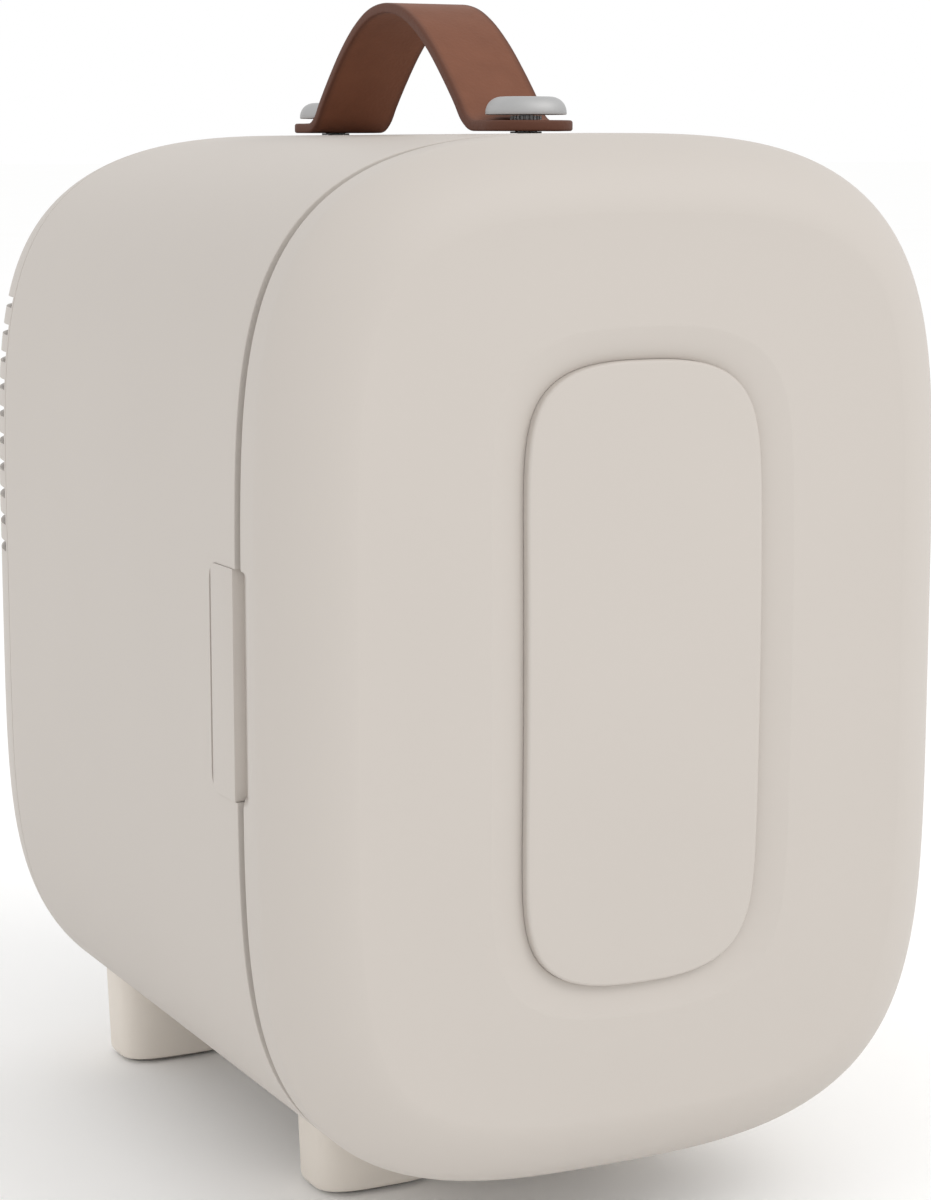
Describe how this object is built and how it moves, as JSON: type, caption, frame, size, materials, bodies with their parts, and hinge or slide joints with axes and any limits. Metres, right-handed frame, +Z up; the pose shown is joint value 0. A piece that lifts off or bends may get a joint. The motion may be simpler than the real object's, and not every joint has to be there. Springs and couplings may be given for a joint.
{
  "type": "mini fridge",
  "caption": "Compact thermoelectric fridge with pillow-shaped body, hinged door with inset panel, side latch, leather strap handle, rear vents and feet.",
  "frame": {"origin": "on the ground, under the middle of the bounding box", "axes": "+Z up, +X to the right seen from the front, door faces -Y"},
  "size_m": [0.1789, 0.2316, 0.2909],
  "materials": {
    "shell_plastic": "warm beige satin ABS, fine moulded texture",
    "foot_plastic": "same beige, slightly darker",
    "liner_plastic": "off-white glossy polystyrene",
    "foam": "rigid foam",
    "aluminium": "extruded, unpolished",
    "ceramic": null,
    "dark_plastic": "black moulded",
    "board": "green lacquered board",
    "rubber": "soft grey",
    "leather": "brown strap leather",
    "stud_metal": "satin, bead blasted",
    "steel": "zinc plated"
  },
  "bodies": {
    "cabinet": {"housing_shell": "shell_plastic", "cabin_liner": "liner_plastic", "cabin_foam": "foam", "cabin_shelf": "liner_plastic", "cold_plate": "aluminium", "thermoelectric_module": "ceramic", "chassis_plate": "dark_plastic", "heat_sink": "aluminium", "fan_frame": "dark_plastic", "control_board": "board", "rear_cover": "shell_plastic", "rear_screw_1": "steel", "rear_screw_2": "steel", "rear_screw_3": "steel", "rear_screw_4": "steel", "mains_inlet": "dark_plastic", "dc_socket": "dark_plastic", "mode_switch": "dark_plastic", "foot_front_left": "foot_plastic", "foot_pad_front_left": "rubber", "foot_front_right": "foot_plastic", "foot_pad_front_right": "rubber", "foot_rear_left": "foot_plastic", "foot_pad_rear_left": "rubber", "foot_rear_right": "foot_plastic", "foot_pad_rear_right": "rubber", "latch_pin": "steel", "latch_spring": "steel", "hinge_base_upper": "steel", "hinge_pin_upper": "steel", "hinge_base_lower": "steel", "hinge_pin_lower": "steel", "strap_handle": "leather", "stud_post_front": "stud_metal", "stud_cap_front": "stud_metal", "stud_nut_front": "steel", "stud_post_rear": "stud_metal", "stud_cap_rear": "stud_metal", "stud_nut_rear": "steel"},
    "door": {"door_shell": "shell_plastic", "door_inset_panel": "shell_plastic", "door_foam": "foam", "door_liner": "liner_plastic", "door_gasket": "rubber", "door_rack": "liner_plastic", "door_catch": "shell_plastic", "hinge_leaf_upper": "steel", "hinge_leaf_lower": "steel"},
    "latch": {"latch_lever": "shell_plastic"},
    "fan": {"fan_rotor": "dark_plastic"},
    "rocker": {"mode_rocker": "dark_plastic"}
  },
  "joints": [
    {"name": "door_hinge", "type": "hinge", "parent": "cabinet", "child": "door", "pos_m": [0.0883, -0.0887, 0.1385], "axis": [0, 0, 1], "range_deg": [0, 110]},
    {"name": "latch_pivot", "type": "hinge", "parent": "cabinet", "child": "latch", "pos_m": [-0.086, -0.0737, 0.1385], "axis": [0, 0, -1], "range_deg": [0, 22], "stiffness_Nm_per_rad": 0.05},
    {"name": "fan_spin", "type": "hinge", "parent": "cabinet", "child": "fan", "pos_m": [0, 0.097, 0.1525], "axis": [0, 1, 0], "continuous": true},
    {"name": "mode_rock", "type": "hinge", "parent": "cabinet", "child": "rocker", "pos_m": [0.03, 0.1113, 0.0685], "axis": [1, 0, 0], "range_deg": [-8, 8]}
  ]
}
